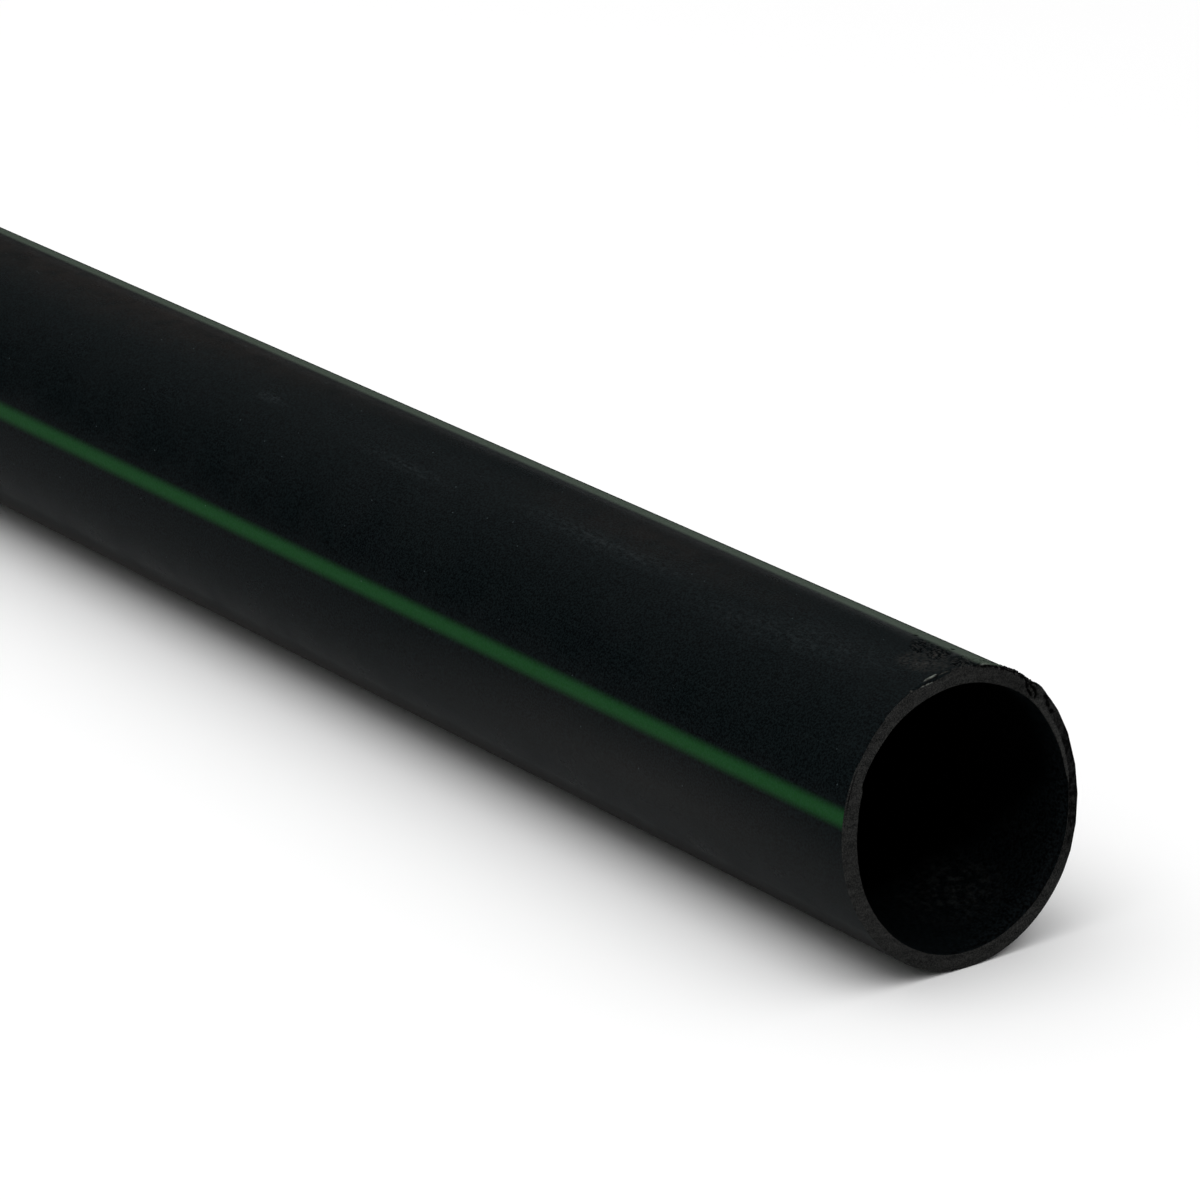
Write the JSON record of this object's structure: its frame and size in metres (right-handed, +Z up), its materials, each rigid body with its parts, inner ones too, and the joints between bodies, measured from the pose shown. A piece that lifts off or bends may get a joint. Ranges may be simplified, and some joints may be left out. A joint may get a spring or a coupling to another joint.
{
  "type": "polyethylene pipe",
  "caption": "Length of black polyethylene water pipe with green stripes along it, square at one end and sawn off by hand at the other.",
  "frame": {"origin": "on the pipe's axis, at the centre of its square end", "axes": "+X along the pipe towards the hand-sawn end, +Z up as it lies on the floor"},
  "size_m": [1.0033, 0.063, 0.063],
  "materials": {
    "black_polyethylene": "satin"
  },
  "bodies": {
    "root": {"pipe": "black_polyethylene"}
  },
  "joints": []
}
